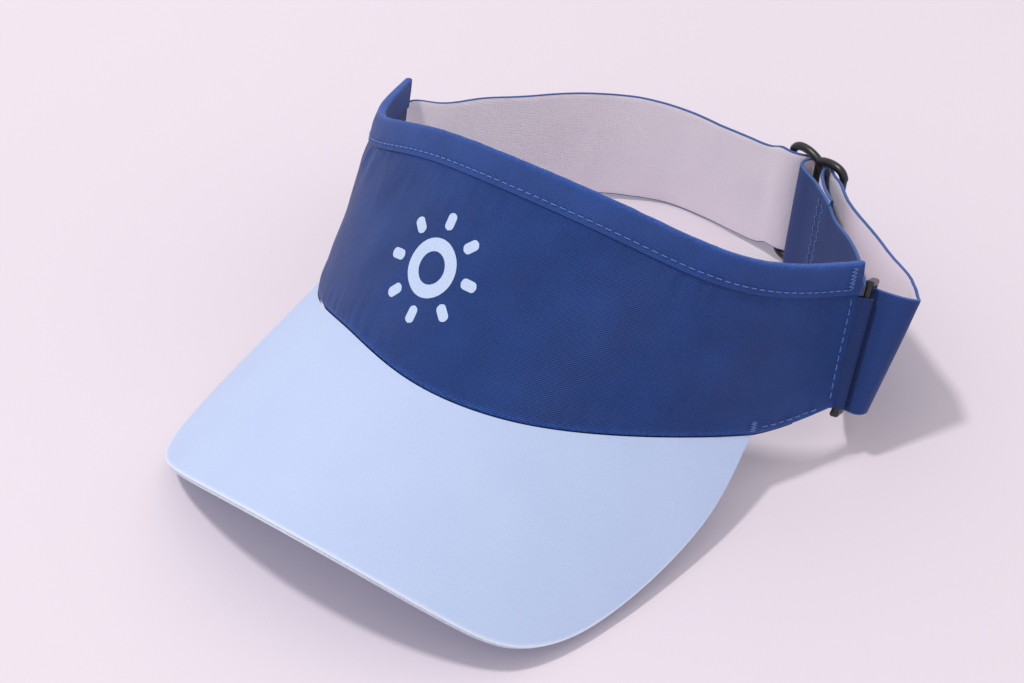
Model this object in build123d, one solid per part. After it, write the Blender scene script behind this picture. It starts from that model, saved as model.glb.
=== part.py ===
from build123d import *
import math
import os

# Sun visor, millimetres.  Wearer's frame while building: +Z up from the table, -Y to the front
# (the brim), +X to the wearer's left (the adjuster side), Y = 0 and X = 0 near the head's middle.
# The visor stands on the two brim corners and on the lower edge of its back strap.
# Every piece is moved at the end so that the row origin is the middle of the footprint.

# ---- crown panel: a leaning strip between a top edge and a lower edge, right end to left end ----
TOP_EDGE = [(-91.7, 13.2, 59.9), (-73.6, -22.7, 71.2), (-39.2, -39.5, 87.5), (0, -47.2, 95.2),
            (40.1, -44.5, 91.4), (72.5, -26.1, 75.4), (90.7, 10.2, 60.3)]
LOWER_EDGE = [(-79.9, -14.1), (-70.9, -60.9), (-35.1, -88.7), (3.1, -101.5),
              (40.8, -88.7), (74.5, -49.8), (95.7, -10.5)]
BRIM_JOIN_RIGHT, BRIM_JOIN_LEFT = -0.706, 0.770   # where along the crown the brim seam ends
HEM_RISE_RIGHT, HEM_RISE_LEFT = -7.0, 7.2         # how far each free lower hem lifts or drops
PANEL, STIFFENER, LINING = 0.5, 0.8, 0.4          # layer thicknesses, outside to inside
LAYER_GAP = 0.05
CROWN_STEP = 0.05                                 # of the crown's half length, between stations
STIFFENER_END = 0.95                              # the stiffener stops short of the end hems
SWEATBAND_THICK, SWEATBAND_TALL, SWEATBAND_END = 1.5, 28.0, 0.90
BINDING_TALL, BINDING_THICK = 9.5, 0.4

# ---- brim: a laminated sheet bent into an arch that slopes down to the front ----
BRIM_HEIGHT, BRIM_SLOPE, BRIM_ARCH = 46.8, 0.244, 0.0062
BRIM_TOP, BRIM_CORE, BRIM_UNDER = 0.35, 0.9, 0.35
BRIM_OUTLINE = [(-74.9, -71), (-78, -89), (-80, -108.5), (-77.8, -126), (-68.4, -140.3), (-51, -150.5),
                (-26.6, -157.4), (1.6, -159.8), (29, -157), (51.5, -150.5), (65.6, -142.5),
                (74.2, -130.5), (80.2, -111.8), (84, -88), (85.2, -62)]
SEAM_GAP = 0.15

# ---- elastic strap ----
STRAP_WIDE, STRAP_THICK = 40.0, 1.2
RIBBON_STEP = 3.0
POCKET_THICK = 0.7                                # strap and tab ends are pressed flat in the seam
STRAP_DROP = 8.0                                  # below the crown's top corner at the right end
# back run: pairs of a point on the top edge and one that the lower edge points at
BACK_RUN = [((-83.2, 19, 51.4), (-76.5, 1, 16.5)), ((-75, 33.6, 48.6), (-69.8, 19.5, 11.8)),
            ((-66.5, 46.8, 45.8), (-61.8, 36, 7.6)), ((-58, 60, 43.4), (-53.2, 52, 4.4)),
            ((-47.6, 71, 41.6), (-43.5, 64.5, 2.3)), ((-36, 79, 40.3), (-32.5, 71.5, 1.1)),
            ((-19.5, 82.2, 39.9), (-20, 77, 0.3)), ((-1.5, 80.6, 40.1), (-2, 77, 0.4)),
            ((14, 77.8, 41.4), (13.5, 73.8, 1.8)), ((23.5, 75.6, 43.2), (23, 71.6, 3.5))]
# outer leg: from the slider forward, outside the crown, to the bulge at the ring
OUTER_LEG = [((61.5, 58.6, 45.1), (61.6, 53.6, 5.4)), ((69.3, 52.2, 45.5), (69.2, 45.6, 6.1)),
             ((81, 43.4, 46.2), (80, 34, 7.4)), ((92.9, 33.9, 47.2), (90.5, 22, 9)),
             ((101.8, 26, 48.2), (98.2, 13.5, 10.4))]
# inner leg: from the ring back along the inside to the sewn loop on the slider
INNER_LEG = [((85.2, 22.6, 48.4), (86.4, 9.5, 10.8)), ((78.6, 31.3, 47.6), (79, 21.5, 9)),
             ((70.1, 39.8, 46.4), (70, 33, 7)), ((61.4, 47.8, 45.4), (61.1, 42.6, 5.8))]

# ---- adjuster slider (a three-bar buckle) on the strap ----
SLIDER_AT, SLIDER_TURN, SLIDER_LEAN = (42.2, 70.2, 25.2), -16.0, 6.0
SLIDER_PITCH, SLIDER_BAR, SLIDER_ROD = 12.0, 1.3, 1.5
SLIDER_SHOULDER = 20.7                            # half height of a slot
# how far the end rod stands beyond the shoulder, by distance from the middle bar
SLIDER_HUMP = [(0, 0), (3.0, 1.2), (6.6, 1.7), (10.4, 0.9), (12.0, -1.0)]
SLIDER_TRAVEL = (0.80, -0.60, 0.03)
# the strap's end in the slider's own plan: in from the inner leg, slack round the middle bar, and out
END_LOOP = [(21.4, -16.9), (14, -12.9), (7, -9.6), (1, -7.6), (-2.6, -5.6), (-4.2, -2.9), (-3.9, 0),
            (-2, 1.55), (0.3, 2.15), (2.4, 1.1), (4.2, -1.9), (8, -6.2), (13, -10.1), (20, -14.1)]

# ---- rectangular ring in a short tab at the crown's left end ----
TAB_WIDE, TAB_DROP, TAB_REACH, TAB_THICK = 36.0, 10.5, 4.2, 0.8
RING_DROP, RING_REACH, RING_BAR, RING_INSIDE, RING_END = 27.4, 8.3, 1.3, 40.6, 2.0
RING_LEAN = 4.0                                   # degrees, the bars' tops lean away from the crown
RING_HEADING = (-0.20, 0.90)
HINGE_GAP = 0.3
# strap through the ring: along the ring, outward at its upper edge, how much less at its lower edge
RING_TURN = [(7.6, 15.0, 7.0), (3.7, 15.2, 7.0), (1.1, 12.4, 5.0), (0.7, 8.3, 2.5), (2.0, 4.4, 0.5),
             (4.0, 0.7, 0.0), (5.9, -1.9, 0.0), (8.6, -2.7, 0.0)]

# ---- stitches ----
STITCH_LONG, STITCH_WIDE, STITCH_HIGH = 2.0, 0.5, 0.3
STITCH_PITCH, STITCH_GAP = 3.0, 0.1
END_ROW = 0.984                                   # where along the crown its end rows run

# ---- printed sun emblem on the front ----
EMBLEM_U, EMBLEM_DOWN, FILM = -0.10, 40.0, 0.14
EMBLEM_DISC, EMBLEM_RING, EMBLEM_RAY_IN, EMBLEM_RAY_OUT, EMBLEM_RAY_WIDE = 5.2, 9.4, 12.4, 18.0, 3.4
EMBLEM_RAYS = 8

ORIGIN = Vector(7.78, -38.45, 0.02)                # middle of the footprint, on the table


# ---------------------------------------------------------------- curves and surfaces
def spline_through(points):
    """Natural cubic through points at equal steps; returns a function of u from -1 to 1."""
    last = len(points) - 1
    dims = range(len(points[0]))
    bend = [[0.0] * len(points) for _ in dims]
    for d in dims:
        lower = [0.0] * (last + 1)
        right = [0.0] * (last + 1)
        for i in range(1, last):
            step = 6 * (points[i + 1][d] - 2 * points[i][d] + points[i - 1][d])
            lower[i] = 1 / (4 - lower[i - 1])
            right[i] = (step - right[i - 1]) * lower[i]
        for i in range(last - 1, 0, -1):
            bend[d][i] = right[i] - lower[i] * bend[d][i + 1]

    def at(u):
        place = min(max((u + 1) / 2, 0), 1) * last
        i = min(int(place), last - 1)
        b = place - i
        a = 1 - b
        return [a * points[i][d] + b * points[i + 1][d]
                + ((a**3 - a) * bend[d][i] + (b**3 - b) * bend[d][i + 1]) / 6 for d in dims]

    return at


top_at = spline_through(TOP_EDGE)
lower_at = spline_through(LOWER_EDGE)


def brim_height(x, y):
    return BRIM_HEIGHT + BRIM_SLOPE * (y + 100) - BRIM_ARCH * x * x


def crown_edges(u):
    """Top and lower point of the crown panel's outer face at u, right end -1 to left end 1."""
    x, y = lower_at(u)
    rise = 0.0
    if u < BRIM_JOIN_RIGHT:
        rise = HEM_RISE_RIGHT * ((BRIM_JOIN_RIGHT - u) / (1 + BRIM_JOIN_RIGHT)) ** 1.5
    if u > BRIM_JOIN_LEFT:
        rise = HEM_RISE_LEFT * ((u - BRIM_JOIN_LEFT) / (1 - BRIM_JOIN_LEFT)) ** 1.5
    return Vector(*top_at(u)), Vector(x, y, brim_height(x, y) + rise)


def crown_frame(u):
    """Top point, unit vector down the panel, height, unit vector inward, unit vector leftward."""
    top, low = crown_edges(u)
    step = 0.01
    back_top, back_low = crown_edges(max(u - step, -1))
    next_top, next_low = crown_edges(min(u + step, 1))
    along = ((next_top + next_low) - (back_top + back_low)).normalized()
    down = (low - top).normalized()
    inward = down.cross(along).normalized()
    if inward.dot(Vector(0, 0, 0) - Vector(top.X, top.Y + 10, 0)) < 0:
        inward = inward * -1
    return top, down, (low - top).length, inward, along


def crown_point(u, drop, depth):
    """A point drop millimetres below the top edge and depth millimetres in from the outer face."""
    top, down, _, inward, _ = crown_frame(u)
    return top + down * drop + inward * depth


def steps(start, end, count):
    return [start + (end - start) * i / count for i in range(count + 1)]


def loft(rings):
    return Solid.make_loft([Wire.make_polygon(ring, close=True) for ring in rings], ruled=True)


def crown_stations(start, end):
    """The shared stations along the crown, so that every layer has the same facets."""
    return steps(start, end, round((end - start) / CROWN_STEP))


def crown_layer(near, far, drop_of, low_of, start=-1.0, end=1.0):
    """A layer of the crown between two depths; drop_of and low_of give its edges at u."""
    rings = []
    for u in crown_stations(start, end):
        tall = crown_frame(u)[2]
        high, low = drop_of(tall), low_of(tall)
        rings.append([crown_point(u, high, near), crown_point(u, low, near),
                      crown_point(u, low, far), crown_point(u, high, far)])
    return loft(rings)


def ribbon(sections, wide=STRAP_WIDE, step=RIBBON_STEP):
    """A flat band through (top point, unit vector to its lower edge, thickness) sections."""
    middles = [top + down * (wide / 2) for top, down, _ in sections]
    path = Spline(*middles)
    gone = [0.0]
    for before, after in zip(middles, middles[1:]):
        gone.append(gone[-1] + (after - before).length)
    rings, i = [], 0
    for share in steps(0, 1, math.ceil(gone[-1] / step)):
        while i < len(sections) - 2 and share * gone[-1] > gone[i + 1]:
            i += 1
        blend = (share * gone[-1] - gone[i]) / (gone[i + 1] - gone[i])
        _, down_a, thick_a = sections[i]
        _, down_b, thick_b = sections[i + 1]
        half = (down_a * (1 - blend) + down_b * blend).normalized() * (wide / 2)
        thick = thick_a * (1 - blend) + thick_b * blend
        side = (path % share).cross(half).normalized() * (thick / 2)
        middle = path @ share
        rings.append([middle - half - side, middle + half - side,
                      middle + half + side, middle - half + side])
    return loft(rings)


def station(pair, thick=STRAP_THICK):
    top, aim = Vector(*pair[0]), Vector(*pair[1])
    return top, (aim - top).normalized(), thick


# ---------------------------------------------------------------- shared places
PANEL_IN = PANEL + LAYER_GAP
POCKET_MID = PANEL_IN + STIFFENER / 2
LINING_AT = PANEL_IN + STIFFENER + LAYER_GAP
INSIDE_AT = LINING_AT + LINING + LAYER_GAP


def slider_plane():
    turn, lean = math.radians(SLIDER_TURN), math.radians(SLIDER_LEAN)
    along = Vector(math.cos(turn), math.sin(turn), 0)
    out = Vector(-math.sin(turn), math.cos(turn), 0)
    up = Vector(0, 0, math.cos(lean)) + out * math.sin(lean)
    return Plane(origin=SLIDER_AT, x_dir=along, z_dir=up)


SLIDER = slider_plane()                            # x along the strap, y outward, z up the strap


def ring_plane():
    top, down, _, inward, along = crown_frame(1.0)
    along = (along - down * along.dot(down)).normalized()
    lean = math.radians(RING_LEAN)
    bar = down * math.cos(lean) - along * math.sin(lean)
    pivot = top + down * RING_DROP + inward * POCKET_MID + along * TAB_REACH
    x, y = RING_HEADING
    heading = Vector(x, y, -(x * bar.X + y * bar.Y) / bar.Z)
    return Plane(origin=pivot, x_dir=heading, z_dir=bar * -1)


RING = ring_plane()                                # x from near bar to far bar, z up the bars
RING_OUT = -1 if RING.y_dir.X < 0 else 1           # sign that makes the local y point outward


def on_slider(along, out, up):
    return SLIDER.from_local_coords(Vector(along, out, up))


def on_ring(along, out, up):
    return RING.from_local_coords(Vector(along, RING_OUT * out, up))


# ---------------------------------------------------------------- crown pieces
def crown_outer_panel():
    return crown_layer(0, PANEL, lambda tall: 0, lambda tall: tall)


def crown_stiffener():
    return crown_layer(PANEL_IN, PANEL_IN + STIFFENER, lambda tall: 0.4, lambda tall: tall - 0.4,
                       -STIFFENER_END, STIFFENER_END)


def crown_lining():
    return crown_layer(LINING_AT, LINING_AT + LINING, lambda tall: 0, lambda tall: tall)


def sweatband():
    return crown_layer(INSIDE_AT, INSIDE_AT + SWEATBAND_THICK, lambda tall: tall - SWEATBAND_TALL,
                       lambda tall: tall - 0.3, -SWEATBAND_END, SWEATBAND_END)


def top_binding():
    """A folded tape over the top edge: outer leg, cap and inner leg in one section."""
    out, gap, inner = BINDING_THICK + LAYER_GAP, LAYER_GAP, INSIDE_AT
    rings = []
    for u in crown_stations(-1.0, 1.0):
        corners = [(BINDING_TALL, -out), (-out, -out), (-out, inner + BINDING_THICK),
                   (BINDING_TALL, inner + BINDING_THICK), (BINDING_TALL, inner), (-gap, inner),
                   (-gap, -gap), (BINDING_TALL, -gap)]
        rings.append([crown_point(u, drop, depth) for drop, depth in corners])
    return loft(rings)


def emblem():
    """A plain sun, ring and short rays, printed as a film on the outer face."""
    top, down, _, inward, along = crown_frame(EMBLEM_U)
    face = Plane(origin=top + down * EMBLEM_DOWN - inward * 6, x_dir=along, z_dir=inward)
    sun = Circle(EMBLEM_RING) - Circle(EMBLEM_DISC)
    middle = (EMBLEM_RAY_IN + EMBLEM_RAY_OUT) / 2
    for place in PolarLocations(middle, EMBLEM_RAYS):
        sun += place * RectangleRounded(EMBLEM_RAY_OUT - EMBLEM_RAY_IN, EMBLEM_RAY_WIDE,
                                        EMBLEM_RAY_WIDE * 0.45)
    film = crown_layer(-FILM - 0.03, -0.03, lambda tall: 12.0, lambda tall: tall - 4.0,
                       EMBLEM_U - 0.25, EMBLEM_U + 0.25)
    return film & extrude(face * sun, 14)


# ---------------------------------------------------------------- brim pieces
def brim_profile(near, far):
    """Arch between two depths below the brim's top face, as a face across the front."""
    def edge(depth):
        points = []
        for x in steps(-92, 92, 16):
            slope = -2 * BRIM_ARCH * x
            size = math.hypot(1, slope)
            points.append(Vector(x + depth * slope / size, 0, -BRIM_ARCH * x * x - depth / size))
        return Spline(*points)
    upper, lower = edge(near), edge(far)
    return Face(Wire([upper, Line(upper @ 1, lower @ 1), lower, Line(lower @ 0, upper @ 0)]))


def brim_blank():
    """Upright block with the brim's outline in plan; its back edge follows the crown seam."""
    seam = []
    for u in steps(BRIM_JOIN_RIGHT, BRIM_JOIN_LEFT, 18):
        low = crown_edges(u)[1]
        inward = crown_frame(u)[3]
        seam.append(Vector(low.X - inward.X * SEAM_GAP * 2, low.Y - inward.Y * SEAM_GAP * 2, -10))
    outer = [seam[0]] + [Vector(x, y, -10) for x, y in BRIM_OUTLINE] + [seam[-1]]
    plan = Face(Wire([Spline(*seam), Spline(*outer)]))
    return extrude(plan, 90, dir=(0, 0, 1))


def brim_layer(near, far):
    front, back = -175.0, -20.0
    run = Vector(0, 1, BRIM_SLOPE)
    arch = brim_profile(near, far).moved(Location((0, front, brim_height(0, front))))
    return extrude(arch, (back - front) * run.length, dir=run.normalized()) & brim_blank()


# ---------------------------------------------------------------- strap pieces
def sewn_end(end, drop, wide):
    """A band's end, pressed flat in the pocket between panel and lining beside the stiffener."""
    near, far = POCKET_MID - POCKET_THICK / 2, POCKET_MID + POCKET_THICK / 2
    inner = end * STIFFENER_END
    return crown_layer(near, far, lambda tall: drop, lambda tall: drop + wide,
                       min(inner, end), max(inner, end))


def end_section(end, drop, beyond, thick):
    """Section of a band a little beyond the crown's end, in line with the pocket."""
    top, down, _, inward, along = crown_frame(end)
    return top + down * drop + inward * POCKET_MID + along * (beyond * end), down, thick


def slider_section(along, out):
    return on_slider(along, out, STRAP_WIDE / 2), SLIDER.z_dir * -1, STRAP_THICK


def ring_section(along, out, taper=0.0):
    top = on_ring(along, out, STRAP_WIDE / 2)
    low = on_ring(along, out - taper, -STRAP_WIDE / 2)
    return top, (low - top).normalized(), STRAP_THICK


def back_strap():
    start = [end_section(-1.0, STRAP_DROP, 0, POCKET_THICK),
             end_section(-1.0, STRAP_DROP, 2.5, STRAP_THICK)]
    free = [station(pair) for pair in BACK_RUN]
    band = ribbon(start + free + [slider_section(-15.2, -2.5)])
    return band + sewn_end(-1.0, STRAP_DROP, STRAP_WIDE)


def strap_outer_leg():
    first = [slider_section(16.6, -5.0)]
    leg = [station(pair) for pair in OUTER_LEG]
    turn = [ring_section(*place) for place in RING_TURN]
    return ribbon(first + leg + turn)


def strap_inner_leg():
    along, out, _ = RING_TURN[-1]
    first = [ring_section(along + 0.5, out - 0.15)]
    last = [slider_section(21.75, -17.1)]
    return ribbon(first + [station(pair) for pair in INNER_LEG] + last)


def strap_threaded():
    """The stretch inside the slider: under the rear bar, over the middle one, under the front."""
    path = [(-14.8, -2.5), (-12, -2.25), (-8, -0.6), (-4, 2.4), (0, 3.55), (4, 2.4), (8, -0.6),
            (12, -2.3), (14.2, -3.4), (16.2, -4.8)]
    return ribbon([slider_section(*place) for place in path], step=1.5)


def strap_end_loop():
    """The strap's end: back from the inner leg, round the middle bar, and a flap sewn to itself."""
    return ribbon([slider_section(*place) for place in END_LOOP], step=0.8)


# ---------------------------------------------------------------- hardware
def slider():
    """Three upright bars joined by a rod that bows out over each slot and dips at the waist."""
    body = None
    for along in (-SLIDER_PITCH, 0, SLIDER_PITCH):
        bar = Solid.make_cylinder(SLIDER_BAR, 2 * SLIDER_SHOULDER,
                                  Plane(origin=on_slider(along, 0, -SLIDER_SHOULDER),
                                        z_dir=SLIDER.z_dir))
        body = bar if body is None else body + bar
    for end in (-1, 1):
        for side in (-1, 1):
            rail = Spline(*[on_slider(side * x, 0, end * (SLIDER_SHOULDER + rise))
                            for x, rise in SLIDER_HUMP])
            circle = Plane(origin=rail @ 0, z_dir=rail % 0) * Circle(SLIDER_ROD)
            body = body + sweep(circle, path=rail)
            body = body + Pos(*(rail @ 1)) * Sphere(SLIDER_ROD)
        body = body + Pos(*on_slider(0, 0, end * SLIDER_SHOULDER)) * Sphere(SLIDER_ROD + 0.1)
    return body


def ring():
    """Rectangular loop: two round bars joined by two flat end pieces."""
    half = RING_INSIDE / 2
    body = None
    for along in (0, RING_REACH):
        bar = Solid.make_cylinder(RING_BAR, RING_INSIDE + 2, Plane(origin=on_ring(along, 0, -half - 1),
                                                                  z_dir=RING.z_dir))
        body = bar if body is None else body + bar
    for end in (-1, 1):
        block = Box(RING_REACH + 2 * RING_BAR, 2 * RING_BAR + 0.2, RING_END)
        block = fillet(block.edges(), 0.8)
        place = Plane(origin=on_ring(RING_REACH / 2, 0, end * (half + RING_END / 2)),
                      x_dir=RING.x_dir, z_dir=RING.z_dir)
        body = body + place * block
    return body


def ring_tab():
    """A short woven tab: sewn into the crown's end and folded round the ring's near bar."""
    inner = RING_BAR + HINGE_GAP
    outer = inner + TAB_THICK
    inward = crown_frame(1.0)[3]
    ends = []
    for drop in (TAB_DROP + TAB_WIDE, TAB_DROP):
        bar = on_ring(0, 0, RING_DROP - drop)
        edge = end_section(1.0, drop, 0.2, POCKET_THICK)[0]
        ends.append([bar + inward * outer, bar - inward * outer,
                     edge - inward * (POCKET_THICK / 2), edge + inward * (POCKET_THICK / 2)])
    fold = Plane(origin=on_ring(0, 0, RING_DROP - TAB_DROP - TAB_WIDE), z_dir=RING.z_dir)
    bore = extrude(fold * Circle(inner), TAB_WIDE, both=True)
    sleeve = extrude(fold * Circle(outer), TAB_WIDE) + loft(ends) - bore
    neck = ribbon([end_section(1.0, TAB_DROP, 0, POCKET_THICK),
                   end_section(1.0, TAB_DROP, 0.4, POCKET_THICK)], TAB_WIDE)
    return sleeve + neck + sewn_end(1.0, TAB_DROP, TAB_WIDE)


# ---------------------------------------------------------------- thread
def stitch_at(point, along, out):
    place = Plane(origin=point + out * (STITCH_HIGH / 2 + STITCH_GAP), x_dir=along, z_dir=out)
    return place * Box(STITCH_LONG, STITCH_WIDE, STITCH_HIGH)


def crown_row(start, end, drop_of, lift):
    """Stitches along the crown at a drop below the top edge, lifted off the outer face."""
    run = steps(start, end, 400)
    points = [crown_point(u, drop_of(crown_frame(u)[2]), -lift) for u in run]
    stitches, gone = [], STITCH_PITCH
    for i in range(1, len(points)):
        gone += (points[i] - points[i - 1]).length
        if gone >= STITCH_PITCH:
            gone = 0.0
            out = crown_frame(run[i])[3] * -1
            stitches.append(stitch_at(points[i], points[i] - points[i - 1], out))
    return stitches


def crown_column(u, first, last, lift):
    """Stitches down the crown at one place along it."""
    top, down, _, inward, _ = crown_frame(u)
    count = int((last - first) / STITCH_PITCH)
    return [stitch_at(top + down * (first + STITCH_PITCH * i) - inward * lift, down, inward * -1)
            for i in range(count + 1)]


def group(solids):
    return Compound(children=list(solids))


def binding_topstitch():
    return group(crown_row(-0.985, 0.985, lambda tall: BINDING_TALL - 1.8, BINDING_THICK + LAYER_GAP))


def hem_stitches():
    left = crown_row(BRIM_JOIN_LEFT + 0.045, 0.955, lambda tall: tall - 2.4, 0)
    right = crown_row(-0.955, BRIM_JOIN_RIGHT - 0.045, lambda tall: tall - 2.4, 0)
    return group(left + right)


def end_stitches():
    left = crown_column(END_ROW, BINDING_TALL + 2.5, crown_frame(END_ROW)[2] - 2.5, 0)
    right = crown_column(-END_ROW, BINDING_TALL + 2.5, crown_frame(-END_ROW)[2] - 2.5, 0)
    return group(left + right)


def bartacks():
    """Dense short rows that lock the ends of the binding and the ends of the brim seam."""
    rows = []
    for u in (-0.972, 0.972):
        top, down, _, inward, along = crown_frame(u)
        for i in range(5):
            spot = top + down * (1.0 + 1.3 * i) - inward * (BINDING_THICK + LAYER_GAP)
            rows.append(stitch_at(spot, along, inward * -1))
    for u in (BRIM_JOIN_RIGHT, BRIM_JOIN_LEFT):
        top, down, tall, inward, along = crown_frame(u)
        for i in range(3):
            rows.append(stitch_at(top + down * (tall - 5.6 + 0.9 * i), along, inward * -1))
    return group(rows)


def loop_stitches():
    """The row that sews the strap's end flap to the strap, on its inner face."""
    start = on_slider(18.2, -15.3, 0)
    face = (on_slider(*END_LOOP[0], 0) - on_slider(*END_LOOP[1], 0)).normalized()
    out = SLIDER.z_dir.cross(face).normalized()
    out = out if out.dot(on_slider(0, -1, 0) - on_slider(0, 0, 0)) > 0 else out * -1
    rows = []
    for i in range(12):
        spot = start + SLIDER.z_dir * (-16.5 + STITCH_PITCH * i) + out * (STRAP_THICK / 2)
        rows.append(stitch_at(spot, SLIDER.z_dir, out))
    return group(rows)


# ---------------------------------------------------------------- write the parts
BRIM_CORE_AT = BRIM_TOP + LAYER_GAP
BRIM_UNDER_AT = BRIM_CORE_AT + BRIM_CORE + LAYER_GAP
NODES = {
    "crown_outer_panel": crown_outer_panel,
    "crown_stiffener": crown_stiffener,
    "crown_lining": crown_lining,
    "sweatband": sweatband,
    "top_binding": top_binding,
    "emblem_film": emblem,
    "brim_top_cover": lambda: brim_layer(0, BRIM_TOP),
    "brim_core": lambda: brim_layer(BRIM_CORE_AT, BRIM_CORE_AT + BRIM_CORE),
    "brim_under_cover": lambda: brim_layer(BRIM_UNDER_AT, BRIM_UNDER_AT + BRIM_UNDER),
    "ring_tab": ring_tab,
    "ring": ring,
    "slider": slider,
    "back_strap": back_strap,
    "strap_outer_leg": strap_outer_leg,
    "strap_inner_leg": strap_inner_leg,
    "strap_threaded": strap_threaded,
    "strap_end_loop": strap_end_loop,
    "binding_topstitch": binding_topstitch,
    "hem_stitches": hem_stitches,
    "end_stitches": end_stitches,
    "bartacks": bartacks,
    "loop_stitches": loop_stitches,
}

os.makedirs("parts", exist_ok=True)
shift = Location(ORIGIN * -1)
low, high = [1e9] * 3, [-1e9] * 3
for name, make in NODES.items():
    node = make().moved(shift)
    export_step(node, f"parts/{name}.step")
    box = node.bounding_box()
    low = [min(a, b) for a, b in zip(low, box.min)]
    high = [max(a, b) for a, b in zip(high, box.max)]
pivot = on_ring(0, 0, 0) - ORIGIN
print("box", [round(v, 2) for v in low], [round(v, 2) for v in high])
print("ring pivot", tuple(round(v, 2) for v in pivot), "axis", tuple(round(-v, 4) for v in RING.z_dir))
print("slider travel", SLIDER_TRAVEL)
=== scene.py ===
import math
import random

import bpy
import numpy as np
from mathutils import Matrix, Vector, noise


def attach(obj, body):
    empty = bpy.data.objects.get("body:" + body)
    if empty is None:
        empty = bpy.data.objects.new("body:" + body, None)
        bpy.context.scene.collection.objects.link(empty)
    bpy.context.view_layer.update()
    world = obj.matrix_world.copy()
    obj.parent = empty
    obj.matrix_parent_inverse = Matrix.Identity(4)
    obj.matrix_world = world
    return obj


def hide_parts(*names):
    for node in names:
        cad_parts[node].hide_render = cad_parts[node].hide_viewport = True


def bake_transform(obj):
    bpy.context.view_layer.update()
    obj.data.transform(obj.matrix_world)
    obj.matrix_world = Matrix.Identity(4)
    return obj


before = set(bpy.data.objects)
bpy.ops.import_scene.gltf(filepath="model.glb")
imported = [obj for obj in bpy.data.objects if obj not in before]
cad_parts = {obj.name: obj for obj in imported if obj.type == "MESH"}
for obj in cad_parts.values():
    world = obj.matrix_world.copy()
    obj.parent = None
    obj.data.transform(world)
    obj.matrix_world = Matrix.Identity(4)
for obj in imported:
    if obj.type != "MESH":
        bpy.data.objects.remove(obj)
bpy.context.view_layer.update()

# ---------------------------------------------------------------- driving dimensions, millimetres
# Wearer's frame: +Z up from the table, -Y to the front, +X to the wearer's left.
ORIGIN = np.array([7.78, -38.45, 0.02])
TOP_EDGE = [(-91.7, 13.2, 59.9), (-73.6, -22.7, 71.2), (-39.2, -39.5, 87.5), (0, -47.2, 95.2),
            (40.1, -44.5, 91.4), (72.5, -26.1, 75.4), (90.7, 10.2, 60.3)]
LOWER_EDGE = [(-79.9, -14.1), (-70.9, -60.9), (-35.1, -88.7), (3.1, -101.5),
              (40.8, -88.7), (74.5, -49.8), (95.7, -10.5)]
BRIM_JOIN_RIGHT, BRIM_JOIN_LEFT = -0.706, 0.770
HEM_RISE_RIGHT, HEM_RISE_LEFT = -7.0, 7.2
POCKET_MID, LINING_AT, INSIDE_AT = 0.95, 1.4, 1.85  # depths in from the panel's outer face
LINING, STIFFENER, STIFFENER_END = 0.4, 0.8, 0.95
FOLD, FOLD_ROWS = 0.92, 6                           # radius and rows of the cloth turned round an edge
# how far the panel's cloth stands off: seam puckers, long folds, hem gathers, hem swell, waves
PUCKER, FAN, GATHER, SWELL, WAVE, SMALL_WAVE, LOFT = 0.62, 0.45, 0.48, 0.275, 0.75, 0.26, 0.3
PANEL_COLUMNS, PANEL_ROWS = 361, 74
BINDING_TALL, BINDING_THICK = 9.5, 0.4
STITCH_ROW = BINDING_TALL - 1.8
TAPE_OUTER = (9.5, 9.35, 8.9, 8.3, 7.9, STITCH_ROW, 7.4, 6.8, 6.0, 5.0, 4.0, 3.0, 2.0, 1.1, 0.4)
TAPE_INNER = (0.4, 2.0, 4.0, 6.0, 7.5, 8.5, 9.3)
SWEATBAND_THICK, SWEATBAND_TALL, SWEATBAND_END = 1.5, 28.0, 0.90

BRIM_HEIGHT, BRIM_SLOPE, BRIM_ARCH = 46.8, 0.244, 0.0062
BRIM_TOP, BRIM_CORE, BRIM_UNDER, LAYER_GAP = 0.35, 0.9, 0.35, 0.05
BRIM_COLUMNS, BRIM_ROWS = 181, 57
BRIM_OUTLINE = [(-74.9, -71), (-78, -89), (-80, -108.5), (-77.8, -126), (-68.4, -140.3), (-51, -150.5),
                (-26.6, -157.4), (1.6, -159.8), (29, -157), (51.5, -150.5), (65.6, -142.5),
                (74.2, -130.5), (80.2, -111.8), (84, -88), (85.2, -62)]

STRAP_WIDE, STRAP_THICK, STRAP_DROP = 40.0, 1.2, 8.0
BAND_ACROSS, BAND_EDGE = 21, (0.6, 1.1, 1.571, 2.04, 2.54)  # points across a face, angles round an edge
BACK_RUN = [((-83.2, 19, 51.4), (-76.5, 1, 16.5)), ((-75, 33.6, 48.6), (-69.8, 19.5, 11.8)),
            ((-66.5, 46.8, 45.8), (-61.8, 36, 7.6)), ((-58, 60, 43.4), (-53.2, 52, 4.4)),
            ((-47.6, 71, 41.6), (-43.5, 64.5, 2.3)), ((-36, 79, 40.3), (-32.5, 71.5, 1.1)),
            ((-19.5, 82.2, 39.9), (-20, 77, 0.3)), ((-1.5, 80.6, 40.1), (-2, 77, 0.4)),
            ((14, 77.8, 41.4), (13.5, 73.8, 1.8)), ((23.5, 75.6, 43.2), (23, 71.6, 3.5))]
OUTER_LEG = [((61.5, 58.6, 45.1), (61.6, 53.6, 5.4)), ((69.3, 52.2, 45.5), (69.2, 45.6, 6.1)),
             ((81, 43.4, 46.2), (80, 34, 7.4)), ((92.9, 33.9, 47.2), (90.5, 22, 9)),
             ((101.8, 26, 48.2), (98.2, 13.5, 10.4))]
INNER_LEG = [((85.2, 22.6, 48.4), (86.4, 9.5, 10.8)), ((78.6, 31.3, 47.6), (79, 21.5, 9)),
             ((70.1, 39.8, 46.4), (70, 33, 7)), ((61.4, 47.8, 45.4), (61.1, 42.6, 5.8))]
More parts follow.
